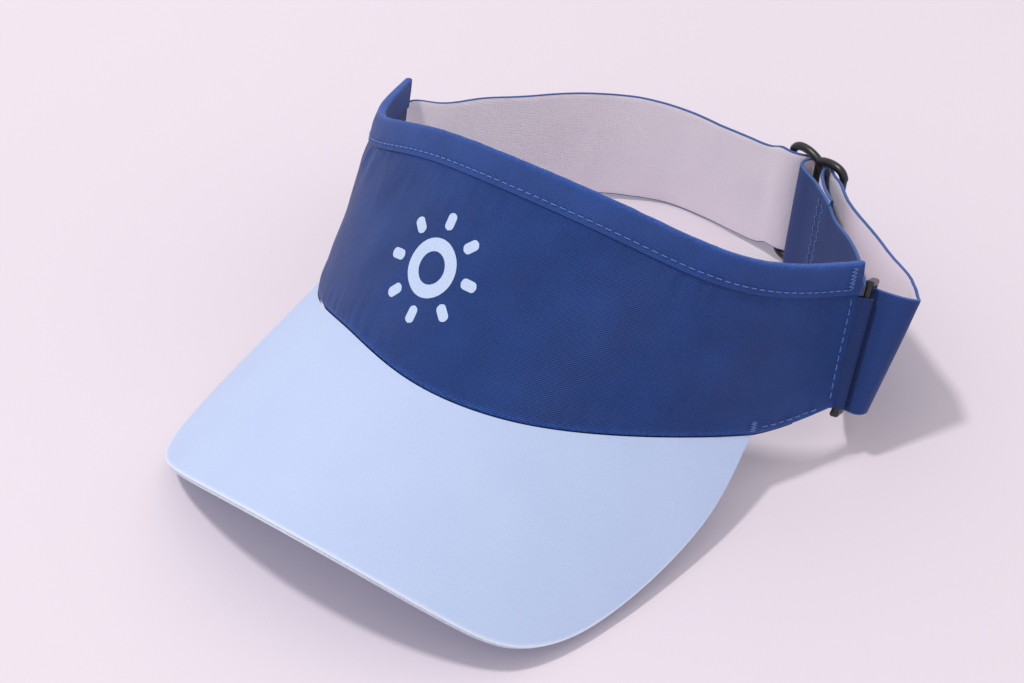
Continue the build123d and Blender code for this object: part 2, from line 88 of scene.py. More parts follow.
SLIDER_AT, SLIDER_TURN, SLIDER_LEAN = np.array([42.2, 70.2, 25.2]), -16.0, 6.0
OUTER_CUT = 3                                      # the outer leg's section where the ring's turn starts
THREADED = [(-14.8, -2.5), (-12, -2.25), (-8, -0.6), (-4, 2.4), (0, 3.55), (4, 2.4), (8, -0.6),
            (12, -2.3), (14.2, -3.4), (16.2, -4.8)]
END_LOOP = [(21.4, -16.9), (14, -12.9), (7, -9.6), (1, -7.6), (-2.6, -5.6), (-4.2, -2.9), (-3.9, 0),
            (-2, 1.55), (0.3, 2.15), (2.4, 1.1), (4.2, -1.9), (8, -6.2), (13, -10.1), (20, -14.1)]
TAB_WIDE, TAB_DROP, TAB_REACH, TAB_THICK = 36.0, 10.5, 4.2, 0.8
RING_DROP, RING_BAR, HINGE_GAP, RING_LEAN = 27.4, 1.3, 0.3, 4.0
RING_HEADING = (-0.20, 0.90)
RING_TURN = [(7.6, 15.0, 7.0), (3.7, 15.2, 7.0), (1.1, 12.4, 5.0), (0.7, 8.3, 2.5), (2.0, 4.4, 0.5),
             (4.0, 0.7, 0.0), (5.9, -1.9, 0.0), (8.6, -2.7, 0.0)]
STITCH_PITCH, STITCH_LONG, THREAD, FINE_THREAD = 3.0, 2.2, 0.19, 0.16
END_ROW, HEM_END, TACK_AT = 0.984, 0.955, 0.972      # places along the crown
HEM_UP = 2.4                                        # the hem row's height above the lower edge
EMBLEM_U, EMBLEM_DOWN = -0.10, 40.0
EMBLEM_DISC, EMBLEM_RING, EMBLEM_RAY_IN, EMBLEM_RAY_OUT, EMBLEM_RAY_WIDE = 5.2, 9.4, 12.4, 18.0, 3.4
EMBLEM_RAYS = 8

rand = random.Random(7)


# ---------------------------------------------------------------- curves
def spline(points, knots=None):
    """Natural cubic through points at the knots (equal steps from -1 to 1 if none are given)."""
    p = np.array(points, float)
    k = np.linspace(-1, 1, len(p)) if knots is None else np.array(knots, float)
    gap = np.diff(k)
    last = len(p) - 1
    rows, goal = np.eye(last + 1), np.zeros_like(p)
    for i in range(1, last):
        rows[i, i - 1:i + 2] = gap[i - 1], 2 * (gap[i - 1] + gap[i]), gap[i]
        goal[i] = 6 * ((p[i + 1] - p[i]) / gap[i] - (p[i] - p[i - 1]) / gap[i - 1])
    bend = np.linalg.solve(rows, goal)

    def at(t):
        t = np.clip(np.atleast_1d(np.asarray(t, float)), k[0], k[-1])
        i = np.clip(np.searchsorted(k, t, side="right") - 1, 0, last - 1)
        b = ((t - k[i]) / gap[i])[:, None]
        a = 1 - b
        curl = (a**3 - a) * bend[i] + (b**3 - b) * bend[i + 1]
        return a * p[i] + b * p[i + 1] + curl * gap[i][:, None] ** 2 / 6

    return at


def unit(v):
    return v / np.linalg.norm(v, axis=-1, keepdims=True)


def wobble(x, y, seed=0.0):
    return noise.noise(Vector((x, y, seed)))


# ---------------------------------------------------------------- the crown's surface
top_at, lower_at = spline(TOP_EDGE), spline(LOWER_EDGE)


def brim_height(x, y):
    return BRIM_HEIGHT + BRIM_SLOPE * (y + 100) - BRIM_ARCH * x * x


def crown_edges(u):
    u = np.clip(np.atleast_1d(np.asarray(u, float)), -1, 1)
    xy = lower_at(u)
    right = np.clip((BRIM_JOIN_RIGHT - u) / (1 + BRIM_JOIN_RIGHT), 0, 1) ** 1.5
    left = np.clip((u - BRIM_JOIN_LEFT) / (1 - BRIM_JOIN_LEFT), 0, 1) ** 1.5
    z = brim_height(xy[:, 0], xy[:, 1]) + HEM_RISE_RIGHT * right + HEM_RISE_LEFT * left
    return top_at(u), np.column_stack([xy, z])


def crown_frame(u):
    """Top points, unit vectors down, heights, unit vectors inward, unit vectors leftward, at each u."""
    u = np.atleast_1d(np.asarray(u, float))
    step = 0.01
    top, low = crown_edges(u)
    back, ahead = crown_edges(u - step), crown_edges(u + step)
    along = unit(ahead[0] + ahead[1] - back[0] - back[1])
    down = unit(low - top)
    inward = unit(np.cross(down, along))
    middle = np.column_stack([-top[:, 0], -top[:, 1] - 10, 0 * top[:, 2]])
    inward *= np.where((inward * middle).sum(1) < 0, -1, 1)[:, None]
    return top, down, np.linalg.norm(low - top, axis=1), inward, along


CROWN_LENGTH = float(np.linalg.norm(np.diff(sum(crown_edges(np.linspace(-1, 1, 200))) / 2, axis=0),
                                    axis=1).sum())


def crown_grid(us, drops, depths, beyond=0.0):
    """Grid of points: us (n), drops and depths (n, m) or (m); beyond is a distance past the end."""
    top, down, _, inward, along = crown_frame(us)
    beyond = np.broadcast_to(beyond, (len(top),))
    drops = np.broadcast_to(drops, (len(top), np.shape(drops)[-1]))
    depths = np.broadcast_to(depths, drops.shape)
    return (top[:, None] + down[:, None] * drops[..., None] + inward[:, None] * depths[..., None]
            + (along * beyond[:, None])[:, None])


def cloth_lift(u, drop, tall):
    """How far the panel's cloth stands off its plain surface: puckers at the seams, soft waves."""
    s = u * CROWN_LENGTH / 2
    below = max(drop - BINDING_TALL, 0)
    above = max(tall - drop, 0)
    pucker = PUCKER * math.exp(-below / 8) * wobble(s / 3.4, below / 14, 3) * min(below / 1.5, 1)
    fan = FAN * math.exp(-below / 20) * wobble(s / 8 + below / 30, below / 40, 9) * min(below / 3, 1)
    gather = GATHER * math.exp(-above / 6) * wobble(s / 3.1, above / 10, 5) * min(above / 2, 1)
    swell = SWELL * math.exp(-((above - 4) / 4) ** 2)
    wave = WAVE * wobble(s / 30, drop / 24, 1) + SMALL_WAVE * wobble(s / 12, drop / 10, 2)
    edge = min(above / 6, 1) * min(below / 6, 1)
    return pucker + fan + gather + swell + (wave + LOFT) * edge


# ---------------------------------------------------------------- mesh making
def to_row(points):
    """Wearer's frame in millimetres to the row frame in metres."""
    return (np.asarray(points, float) - ORIGIN) / 1000


def make_object(name, points, faces, materials, cloth=None, choice=None, sharp=42.0):
    mesh = bpy.data.meshes.new(name)
    mesh.from_pydata(to_row(points).tolist(), [], faces)
    for material in materials:
        mesh.materials.append(material)
    mesh.polygons.foreach_set("use_smooth", [True] * len(mesh.polygons))
    if choice is not None:
        mesh.polygons.foreach_set("material_index", choice)
    if cloth is not None:
        attribute = mesh.attributes.new("cloth", "FLOAT_VECTOR", "POINT")
        attribute.data.foreach_set("vector", np.asarray(cloth, float).ravel())
    mesh.validate()
    mesh.set_sharp_from_angle(angle=math.radians(sharp))
    item = bpy.data.objects.new(name, mesh)
    bpy.context.scene.collection.objects.link(item)
    return item


def grid_faces(n, m, start=0, flip=False, close=False):
    faces = []
    for i in range(n - 1):
        for j in range(m if close else m - 1):
            k = (j + 1) % m
            quad = (start + i * m + j, start + (i + 1) * m + j, start + (i + 1) * m + k, start + i * m + k)
            faces.append(quad[::-1] if flip else quad)
    return faces


def grid_normals(grid):
    across = np.gradient(grid, axis=0)
    along = np.gradient(grid, axis=1)
    return unit(np.cross(across, along) + 1e-12)


def slab(name, front, back, cloth, materials, flip=False, sharp=42.0):
    """A closed sheet between two grids of the same shape; its rim is straight."""
    n, m = front.shape[:2]
    total = n * m
    faces = grid_faces(n, m, 0, flip) + grid_faces(n, m, total, not flip)
    rim = ([(i, 0) for i in range(n)] + [(n - 1, j) for j in range(1, m)]
           + [(i, m - 1) for i in range(n - 2, -1, -1)] + [(0, j) for j in range(m - 2, 0, -1)])
    for a, b in zip(rim, rim[1:] + rim[:1]):
        low, high = a[0] * m + a[1], b[0] * m + b[1]
        quad = (low, low + total, high + total, high)
        faces.append(quad if flip else quad[::-1])
    points = np.concatenate([front.reshape(-1, 3), back.reshape(-1, 3)])
    return make_object(name, points, faces, materials, np.concatenate([cloth.reshape(-1, 3)] * 2),
                       sharp=sharp)


def tube(name, rings, cloth, materials, choice_of=None, sharp=42.0):
    """A closed solid through rings of points, all with the same count; its ends are flat."""
    n, m = rings.shape[:2]
    faces = grid_faces(n, m, close=True)
    choice = [choice_of(j) if choice_of else 0 for _ in range(n - 1) for j in range(m)]
    faces += [tuple(range(m - 1, -1, -1)), tuple(range((n - 1) * m, n * m))]
    choice += [0, 0]
    item = make_object(name, rings.reshape(-1, 3), faces, materials, cloth.reshape(-1, 3), choice, sharp)
    return item


def threads(name, paths, material, radius=THREAD, sides=8):
    """Short lengths of thread, each with rounded ends, as one object."""
    points, faces, cloth = [], [], []
    for path, out in paths:
        p = np.array(path, float)
        way = unit(np.gradient(p, axis=0))
        side = unit(np.cross(way, out))
        rise = np.cross(side, way)
        gone = np.concatenate([[0], np.cumsum(np.linalg.norm(np.diff(p, axis=0), axis=1))])
        start = len(points)
        for i in range(len(p)):
            size = radius * (0.45 if i in (0, len(p) - 1) else 1)
            for j in range(sides):
                a = 2 * math.pi * j / sides
                points.append(p[i] + side[i] * size * math.cos(a) + rise[i] * size * math.sin(a))
                cloth.append((gone[i], a, 0))
        faces += grid_faces(len(p), sides, start, close=True)
        faces.append(tuple(range(start + sides - 1, start - 1, -1)))
        faces.append(tuple(range(start + (len(p) - 1) * sides, start + len(p) * sides)))
    return make_object(name, points, faces, [material], cloth, sharp=80)


def stitch(middle, way, out, long=STITCH_LONG):
    """One stitch: a thread that rises out of the cloth and goes back in."""
    heights = [-0.12, 0.06, 0.16, 0.19, 0.16, 0.06, -0.12]
    places = np.linspace(-0.5, 0.5, len(heights)) * long * (0.94 + 0.1 * rand.random())
    slip = (rand.random() - 0.5) * 0.12
    side = np.cross(way, out)
    path = [middle + way * a + out * h + side * slip * (a / long) for a, h in zip(places, heights)]
    return path, out


# ---------------------------------------------------------------- materials
def srgb(r, g, b):
    def linear(v):
        v /= 255
        return v / 12.92 if v <= 0.04045 else ((v + 0.055) / 1.055) ** 2.4
    return (linear(r), linear(g), linear(b), 1.0)


class Shader:
    """A material whose node graph is written as nested calls."""

    def __init__(self, name, **sockets):
        self.material = bpy.data.materials.new(name)
        self.material.use_nodes = True
        self.tree = self.material.node_tree
        self.base = self.tree.nodes["Principled BSDF"]
        for socket, value in sockets.items():
            self.base.inputs[socket.replace("_", " ")].default_value = value

    def node(self, kind, inputs=None, output=0, **settings):
        made = self.tree.nodes.new("ShaderNode" + kind)
        for key, value in settings.items():
            setattr(made, key, value)
        for key, value in (inputs or {}).items():
            if isinstance(value, bpy.types.NodeSocket):
                self.tree.links.new(value, made.inputs[key])
            else:
                made.inputs[key].default_value = value
        return made.outputs[output]

    def math(self, operation, *values):
        return self.node("Math", dict(enumerate(values)), operation=operation)

    def cloth(self):
        """The piece's own flat coordinates in millimetres, along and across, and its wear."""
        vector = self.node("Attribute", output="Vector", attribute_name="cloth")
        parts = self.node("SeparateXYZ", {0: vector}).node
        return vector, parts.outputs[0], parts.outputs[1], parts.outputs[2]

    def wave(self, value, pitch):
        return self.math("SINE", self.math("MULTIPLY", value, 2 * math.pi / pitch))

    def noise(self, vector, scale, detail=2.0):
        return self.node("TexNoise", {"Vector": vector, "Scale": scale, "Detail": detail})

    def span(self, value, low, high, to_low=0.0, to_high=1.0):
        return self.node("MapRange", {0: value, 1: low, 2: high, 3: to_low, 4: to_high})

    def mix(self, factor, a, b):
        made = self.tree.nodes.new("ShaderNodeMix")
        made.data_type = "RGBA"
        for socket, value in ((made.inputs[0], factor), (made.inputs[6], a), (made.inputs[7], b)):
            if isinstance(value, bpy.types.NodeSocket):
                self.tree.links.new(value, socket)
            else:
                socket.default_value = value
        return made.outputs[2]

    def bump(self, height, distance, strength=1.0, below=None):
        inputs = {"Height": height, "Distance": distance / 1000, "Strength": strength}
        if below is not None:
            inputs["Normal"] = below
        return self.node("Bump", inputs)

    def finish(self, colour=None, roughness=None, normal=None):
        for socket, value in (("Base Color", colour), ("Roughness", roughness), ("Normal", normal)):
            if value is not None:
                self.tree.links.new(value, self.base.inputs[socket])
        return self.material


def twill(name, light, dark, pitch=0.92, rough=0.43, sheen=0.03, wale=0.12):
    """Fine diagonal weave with a satin face, cloudier and paler where it is worn."""
    s = Shader(name, Sheen_Weight=sheen, Sheen_Roughness=0.35, Specular_IOR_Level=0.30,
               Sheen_Tint=srgb(150, 175, 230))
    place, along, down, wear = s.cloth()
    drift = s.math("MULTIPLY", s.noise(place, 0.6), 0.35)
    lean = s.math("ADD", s.math("ADD", along, s.math("MULTIPLY", down, 1.25)), drift)
    ridge = s.wave(lean, pitch)
    yarn = s.wave(s.math("SUBTRACT", along, s.math("MULTIPLY", down, 0.6)), pitch * 0.62)
    height = s.math("ADD", s.math("MULTIPLY", ridge, 0.65), s.math("MULTIPLY", yarn, 0.35))
    cloud = s.noise(place, 0.05, 3.0)
    slub = s.noise(place, 1.4, 3.0)
    tone = s.math("ADD", s.span(height, -1, 1, 0.0, 0.6), s.span(cloud, 0.3, 0.7, 0.0, 0.25))
    tone = s.math("ADD", tone, s.span(slub, 0.3, 0.7, 0.0, 0.2))
    colour = s.mix(tone, dark, light)
    worn = tuple(min(1.0, v * 1.9 + 0.01) for v in light[:3]) + (1.0,)
    colour = s.mix(s.math("MULTIPLY", wear, s.span(slub, 0.35, 0.65, 0.2, 0.75)), colour, worn)
    roughness = s.span(s.math("ADD", height, s.math("MULTIPLY", slub, 2)), -1, 3, rough - 0.07, rough + 0.09)
    fine = s.bump(height, wale)
    return s.finish(colour, roughness, s.bump(cloud, 0.25, 0.6, fine))


def brim_cloth(name, light, dark):
    """Matt laminated cloth: a very fine plain weave, faintly cloudy."""
    s = Shader(name, Sheen_Weight=0.12, Sheen_Roughness=0.5, Specular_IOR_Level=0.3)
    place, along, down, wear = s.cloth()
    weft, warp = s.wave(along, 0.48), s.wave(down, 0.44)
    weave = s.math("MULTIPLY", weft, warp)
    fleck = s.noise(place, 1.9, 4.0)
    cloud = s.noise(place, 0.045, 3.0)
    tone = s.math("ADD", s.span(weave, -1, 1, 0.0, 0.35), s.span(fleck, 0.3, 0.7, 0.0, 0.45))
    tone = s.math("ADD", tone, s.span(cloud, 0.3, 0.7, 0.0, 0.2))
    colour = s.mix(tone, dark, light)
    colour = s.mix(s.math("MULTIPLY", wear, 0.6), colour, srgb(232, 238, 246))
    roughness = s.span(fleck, 0.2, 0.8, 0.62, 0.82)
    fine = s.bump(s.math("ADD", s.math("MULTIPLY", weave, 0.5), fleck), 0.05)
    return s.finish(colour, roughness, s.bump(cloud, 0.3, 0.5, fine))


def elastic(name, light, dark, rib=0.9, fleck_share=0.5, rough=0.7, edge=None):
    """Knitted elastic: ribs along its length crossed by fine weft, with a plainer edge."""
    s = Shader(name, Sheen_Weight=0.08, Sheen_Roughness=0.45, Specular_IOR_Level=0.28)
    place, along, across, _ = s.cloth()
    ribs = s.wave(across, rib)
    weft = s.wave(s.math("ADD", along, s.math("MULTIPLY", ribs, 0.08)), 0.62)
    fleck = s.noise(place, 2.2, 3.0)
    cloud = s.noise(place, 0.07, 2.0)
    height = s.math("ADD", s.math("MULTIPLY", ribs, 0.5), s.math("MULTIPLY", weft, 0.5))
    tone = s.math("ADD", s.span(height, -1, 1, 0.0, 0.5), s.span(fleck, 0.3, 0.7, 0.0, fleck_share))
    colour = s.mix(s.math("MULTIPLY", tone, s.span(cloud, 0.2, 0.8, 0.8, 1.15)), dark, light)
    from_middle = s.math("ABSOLUTE", across)
    line = s.math("COMPARE", from_middle, STRAP_WIDE / 2 - 3.0, 0.35)
    colour = s.mix(s.math("MULTIPLY", line, 0.12), colour, dark)
    if edge is not None:
        rim = s.span(from_middle, STRAP_WIDE / 2 - 0.55, STRAP_WIDE / 2 - 0.3)
        colour = s.mix(s.math("MULTIPLY", rim, 0.6), colour, edge)
    return s.finish(colour, s.span(fleck, 0.2, 0.8, rough - 0.08, rough + 0.1), s.bump(height, 0.09))


def plain_weave(name, light, dark, pitch=0.6, rough=0.75):
    s = Shader(name, Sheen_Weight=0.2, Specular_IOR_Level=0.3)
    place, along, down, _ = s.cloth()
    weave = s.math("MULTIPLY", s.wave(along, pitch), s.wave(down, pitch))
    fleck = s.noise(place, 1.2, 3.0)
    tone = s.math("ADD", s.span(weave, -1, 1, 0.0, 0.5), s.span(fleck, 0.3, 0.7, 0.0, 0.5))
    colour = s.mix(tone, dark, light)
    return s.finish(colour, s.span(fleck, 0.2, 0.8, rough - 0.08, rough + 0.08), s.bump(weave, 0.06))


def knit(name, light, dark):
    """Brushed jersey over foam, for the sweatband."""
    s = Shader(name, Sheen_Weight=0.12, Sheen_Roughness=0.6, Specular_IOR_Level=0.2)
    place, along, down, _ = s.cloth()
    wale = s.wave(along, 0.8)
    course = s.wave(s.math("ADD", down, s.math("MULTIPLY", s.math("ABSOLUTE", wale), 0.25)), 0.6)
    loops = s.math("MULTIPLY", s.math("ABSOLUTE", wale), course)
    fuzz = s.noise(place, 2.4, 4.0)
    tone = s.math("ADD", s.span(loops, -1, 1, 0.0, 0.45), s.span(fuzz, 0.3, 0.7, 0.0, 0.55))
    height = s.math("ADD", loops, s.math("MULTIPLY", fuzz, 0.6))
    return s.finish(s.mix(tone, dark, light), s.span(fuzz, 0.2, 0.8, 0.78, 0.95), s.bump(height, 0.09))


def board(name, light, dark):
    """Cut edge of a laminated sheet: pale, finely layered and a little rough."""
    s = Shader(name, Specular_IOR_Level=0.25)
    place, _, _, _ = s.cloth()
    grain = s.noise(place, 1.6, 5.0)
    colour = s.mix(s.span(grain, 0.3, 0.7), dark, light)
    return s.finish(colour, s.span(grain, 0.2, 0.8, 0.7, 0.9), s.bump(grain, 0.08))


def thread_material(name, light, dark):
    """Twisted sewing thread."""
    s = Shader(name, Sheen_Weight=0.3, Specular_IOR_Level=0.5)
    _, along, turn, _ = s.cloth()
    twist = s.wave(s.math("ADD", along, s.math("MULTIPLY", turn, 0.45 / (2 * math.pi))), 0.45)
    tone = s.span(twist, -1, 1)
    return s.finish(s.mix(tone, dark, light), s.span(tone, 0, 1, 0.55, 0.4), s.bump(twist, 0.04))


def print_ink(name, light, dark):
    """Heat-pressed film that still shows the weave under it."""
    s = Shader(name, Specular_IOR_Level=0.45)
    place, along, down, _ = s.cloth()
    ridge = s.wave(s.math("ADD", along, s.math("MULTIPLY", down, 1.25)), 0.52)
    speck = s.noise(place, 1.6, 4.0)
    tone = s.math("ADD", s.span(ridge, -1, 1, 0.0, 0.3), s.span(speck, 0.3, 0.7, 0.0, 0.7))
    colour = s.mix(tone, dark, light)
    return s.finish(colour, s.span(speck, 0.2, 0.8, 0.34, 0.5), s.bump(ridge, 0.02))


def moulded(name, colour, flow_and_glint_colour):
    """Moulded plastic: satin, with a fine grain, faint paler flow marks, and a painted highlight on convex
    edges, which are also a little rougher.
    """
    s = Shader(name, Specular_IOR_Level=0.5, Coat_Weight=0.12, Coat_Roughness=0.25)
    place = s.node("TexCoord", output="Object")
    grain = s.noise(place, 2600.0, 3.0)
    flow = s.noise(place, 160.0, 3.0)
    # painted highlight: convex edges (high pointiness) are mixed toward the paler colour and made a little
    # rougher
    convex_edge_glint = s.span(s.node("NewGeometry", output="Pointiness"), 0.5, 0.62)
    base = s.mix(s.span(flow, 0.3, 0.7, 0.0, 0.5), colour, flow_and_glint_colour)
    base = s.mix(s.math("MULTIPLY", convex_edge_glint, 0.25), base, flow_and_glint_colour)
    roughness = s.math("ADD", s.span(flow, 0.3, 0.7, 0.26, 0.36), s.math("MULTIPLY", convex_edge_glint, 0.1))
    return s.finish(base, roughness, s.bump(grain, 0.02))


NAVY = twill("navy_satin_twill", srgb(30, 74, 150), srgb(5, 30, 82))
BINDING = twill("navy_binding_tape", srgb(42, 82, 160), srgb(12, 38, 92), pitch=0.8, rough=0.5, wale=0.08)
NAVY_INSIDE = plain_weave("navy_lining", srgb(38, 62, 122), srgb(24, 40, 88))
SWEAT_KNIT = knit("navy_sweatband_knit", srgb(38, 62, 122), srgb(22, 38, 86))
BRIM_BLUE = brim_cloth("light_blue_brim_cloth", srgb(192, 207, 237), srgb(174, 191, 227))
BRIM_PALE = board("brim_board_edge", srgb(226, 232, 240), srgb(190, 202, 218))
WEB_NAVY = elastic("elastic_navy_face", srgb(34, 66, 134), srgb(20, 44, 98), rib=0.6, edge=srgb(84, 118, 184))
WEB_PALE = elastic("elastic_pale_face", srgb(253, 243, 252), srgb(232, 221, 234), rib=0.6, rough=0.8)
TAB_NAVY = elastic("tab_navy_webbing", srgb(30, 58, 118), srgb(18, 38, 86), rib=1.0)
STIFF_WHITE = plain_weave("buckram", srgb(226, 226, 222), srgb(196, 196, 192), pitch=1.1)
THREAD_BLUE = thread_material("light_blue_thread", srgb(92, 138, 208), srgb(48, 86, 160))
INK = print_ink("pale_print", srgb(196, 212, 238), srgb(176, 194, 226))
# the second colour is the paler tone of the flow marks and of the painted edge highlight
BLACK = moulded("black_satin_plastic", srgb(17, 17, 19), srgb(34, 34, 38))


# ---------------------------------------------------------------- crown pieces
def fold_rows():
    """Distance beyond the edge and depth, for cloth turned half round it."""
    angles = np.linspace(0, math.pi, FOLD_ROWS + 1)[1:]
    return FOLD * np.sin(angles), FOLD * (1 - np.cos(angles))


def crown_cloth(us, drops, wear):
    s = us * CROWN_LENGTH / 2
    out = np.zeros(drops.shape + (3,))
    out[..., 0] = s[:, None]
    out[..., 1] = drops
    out[..., 2] = wear
    return out


def panel_surface(us, count):
    """Drops, depths and wear of the outer panel's face, turned under along its lower edge."""
    tall = crown_frame(us)[2]
    turn_drop, turn_depth = fold_rows()
    share = np.linspace(0, 1, count)
    drops = np.array([np.concatenate([(t - FOLD) * share, t - FOLD + turn_drop]) for t in tall])
    lift = np.array([[cloth_lift(u, d, t) for d in row] for u, row, t in zip(us, drops, tall)])
    depths = np.zeros_like(drops)
    depths[:, count:] = turn_depth
    lift[:, count:] *= np.linspace(1, 0, FOLD_ROWS)
    wear = np.exp(-(((tall[:, None] - drops) / 1.4) ** 2)) * 0.8
    return drops, depths - lift, wear


def build_crown_panel():
    us = np.linspace(-1, 1, PANEL_COLUMNS)
    drops, depths, wear = panel_surface(us, PANEL_ROWS)
    body = crown_grid(us, drops, depths)
    cloth = crown_cloth(us, drops, wear)
    beyond, deeper = fold_rows()
    ends = []
    for end, rows in ((-1, slice(0, 1)), (1, slice(-1, None))):
        fold = [crown_grid(np.array([end]), drops[rows], np.minimum(depths[rows] + dep, 2 * FOLD),
                           beyond=b * end)[0] for b, dep in zip(beyond, deeper)]
        ends.append(np.array(fold))
    front = np.concatenate([ends[0][::-1], body, ends[1]])
    first, last = np.repeat(cloth[:1], FOLD_ROWS, 0), np.repeat(cloth[-1:], FOLD_ROWS, 0)
    first[..., 2] = last[..., 2] = 0.5
    row_gap = 0.5
    for i in range(FOLD_ROWS):
        first[i, :, 0] -= (FOLD_ROWS - i) * row_gap
        last[i, :, 0] += (i + 1) * row_gap
    cloth = np.concatenate([first, cloth, last])
    back = front - grid_normals(front) * 0.42
    inside = (back - front) @ np.array([0, 1.0, 0])
    if inside[180, 30] < 0:
        back = 2 * front - back
    return slab("crown_panel", front, back, cloth, [NAVY], flip=True)


def build_layer(name, near, thick, high, low_of, material, start=-1.0, end=1.0, count=40):
    """A plain layer of the crown between two drops, as a thin closed sheet."""
    us = np.linspace(start, end, 241)
    tall = crown_frame(us)[2]
    share = np.linspace(0, 1, count)
    drops = np.array([high + (low_of(t) - high) * share for t in tall])
    waves = np.array([[0.08 * wobble(u * 30, d / 7, near) for d in row] for u, row in zip(us, drops)])
    front = crown_grid(us, drops, near + waves * 0.3)
    back = crown_grid(us, drops, near + thick + waves)
    return slab(name, front, back, crown_cloth(us, drops, 0.0), [material], flip=True)


def build_sweatband():
    """A soft band round the inside of the lower edge: foam in a knitted cover, sewn at both edges."""
    us = np.linspace(-SWEATBAND_END, SWEATBAND_END, 261)
    tall = crown_frame(us)[2]
    count = 26
    turn = np.linspace(0, 2 * math.pi, count, endpoint=False)
    rings, cloth = [], []
    for u, t in zip(us, tall):
        middle, half = t - SWEATBAND_TALL / 2 + 0.9, SWEATBAND_TALL / 2 + 0.9
        row = []
        for a in turn:
            c, d = math.cos(a), math.sin(a)
            drop = middle - half * np.sign(c) * abs(c) ** 0.75
            puff = abs(d) ** 0.35 * np.sign(d)
            give = 1 + 0.12 * wobble(u * 40, drop / 9, 4)
            depth = INSIDE_AT + 0.1 + (SWEATBAND_THICK / 2) * (1 + puff * (give if d > 0 else 1))
            row.append((drop, depth))
        row = np.array(row)
        rings.append(crown_grid(np.array([u]), row[None, :, 0], row[None, :, 1])[0])
        cloth.append(crown_cloth(np.array([u]), row[None, :, 0], 0.0)[0])
    return tube("sweatband_pad", np.array(rings), np.array(cloth), [SWEAT_KNIT], sharp=70)


def binding_section(u):
    """The folded tape's outline at u: out of the seam, up, over the edge and down inside."""
    s = u * CROWN_LENGTH / 2
    outline = []
    face = -(BINDING_THICK + 0.08)
    for drop in TAPE_OUTER:
        puff = 0.34 * math.sin(math.pi * min(max((STITCH_ROW - drop) / STITCH_ROW, 0), 1)) ** 0.8
        dip = 0.22 * math.exp(-((drop - STITCH_ROW) / 0.55) ** 2)
        between = 0.5 + 0.5 * math.cos(2 * math.pi * s / STITCH_PITCH)
        lip = 0.20 * wobble(s / 2.3, drop / 5, 8) * math.exp(-abs(drop - 9) / 1.6)
        roll = 0.12 * wobble(s / 5.5, drop / 4, 6)
        outline.append((drop, face - puff + dip * between - lip - roll * (1 if drop < 7 else 0.4)))
    top_half = (INSIDE_AT + 2 * BINDING_THICK + 0.1) / 2
    centre = INSIDE_AT / 2
    crest = 0.25 + 0.15 * wobble(s / 4.5, 0.5, 12)
    for a in np.linspace(math.pi * 0.94, math.pi * 0.06, 9):
        outline.append((-0.45 - crest * math.sin(a) - 0.25 * math.sin(a), centre + top_half * math.cos(a)))
    inner = INSIDE_AT + BINDING_THICK
    for drop in TAPE_INNER:
        outline.append((drop, inner + 0.1 + 0.12 * math.sin(math.pi * drop / 9.5)
                        + 0.08 * wobble(s / 4, drop / 4, 15)))
    outline += [(9.5, inner), (9.5, INSIDE_AT + 0.05), (5.0, INSIDE_AT + 0.05), (0.2, INSIDE_AT + 0.05),
                (0.2, -0.06), (5.0, -0.06), (9.5, -0.06)]
    return np.array(outline)


def build_binding():
    us = np.concatenate([[-1.006], np.linspace(-1.004, 1.004, 801), [1.006]])
    rings, cloth = [], []
    for u in us:
        outline = binding_section(u)
        beyond = np.sign(u) * max(abs(u) - 1, 0) * CROWN_LENGTH / 2
        if abs(u) > 1.005:
            outline = outline.mean(0) + (outline - outline.mean(0)) * [0.97, 0.72]
        at = np.array([min(max(u, -1), 1)])
        rings.append(crown_grid(at, outline[None, :, 0], outline[None, :, 1], beyond=beyond)[0])
        wear = np.exp(-((outline[:, 0] + 0.6) / 0.8) ** 2)[None] * 0.7
        cloth.append(crown_cloth(np.array([u]), outline[None, :, 0], wear)[0])
    return tube("top_binding_tape", np.array(rings), np.array(cloth), [BINDING], sharp=60)


def crown_stitches(start, end, drop_of, depth_of, pitch=STITCH_PITCH, long=STITCH_LONG):
    us = np.linspace(start, end, 3000)
    top, down, tall, inward, _ = crown_frame(us)
    drops = np.array([drop_of(t) for t in tall])
    points = top + down * drops[:, None]
    gone = np.concatenate([[0], np.cumsum(np.linalg.norm(np.diff(points, axis=0), axis=1))])
    rows = []
    for at in np.arange(pitch / 2, gone[-1] - pitch / 3, pitch):
        i = int(np.searchsorted(gone, at))
        way = unit(points[min(i + 5, 2999)] - points[max(i - 5, 0)])
        middle = points[i] + inward[i] * depth_of(us[i], drops[i], tall[i])
        rows.append(stitch(middle, way, -inward[i], long))
    return rows


def crown_column(u, first, last_gap):
    top, down, tall, inward, _ = (v[0] for v in crown_frame(u))
    rows = []
    for drop in np.arange(first, tall - last_gap, STITCH_PITCH):
        depth = -cloth_lift(u, drop, tall)
        rows.append(stitch(top + down * drop + inward * depth, down, -inward))
    return rows


def bartack(u, drop, across, tall_of_tack, depth, zigzags=9):
    """A dense zigzag of thread over a small patch of the crown."""
    top, down, _, inward, along = (v[0] for v in crown_frame(u))
    rows = []
    for i in range(zigzags):
        a, b = i / zigzags, (i + 1) / zigzags
        one = top + down * (drop + tall_of_tack * a) + along * (-across / 2)
        two = top + down * (drop + tall_of_tack * (a + b) / 2) + along * (across / 2)
        three = top + down * (drop + tall_of_tack * b) + along * (-across / 2)
        for p, q in ((one, two), (two, three)):
            path = [p + (q - p) * f - inward * (-depth + 0.10 + 0.13 * math.sin(math.pi * f))
                    for f in np.linspace(0, 1, 5)]
            rows.append((path, -inward))
    return rows


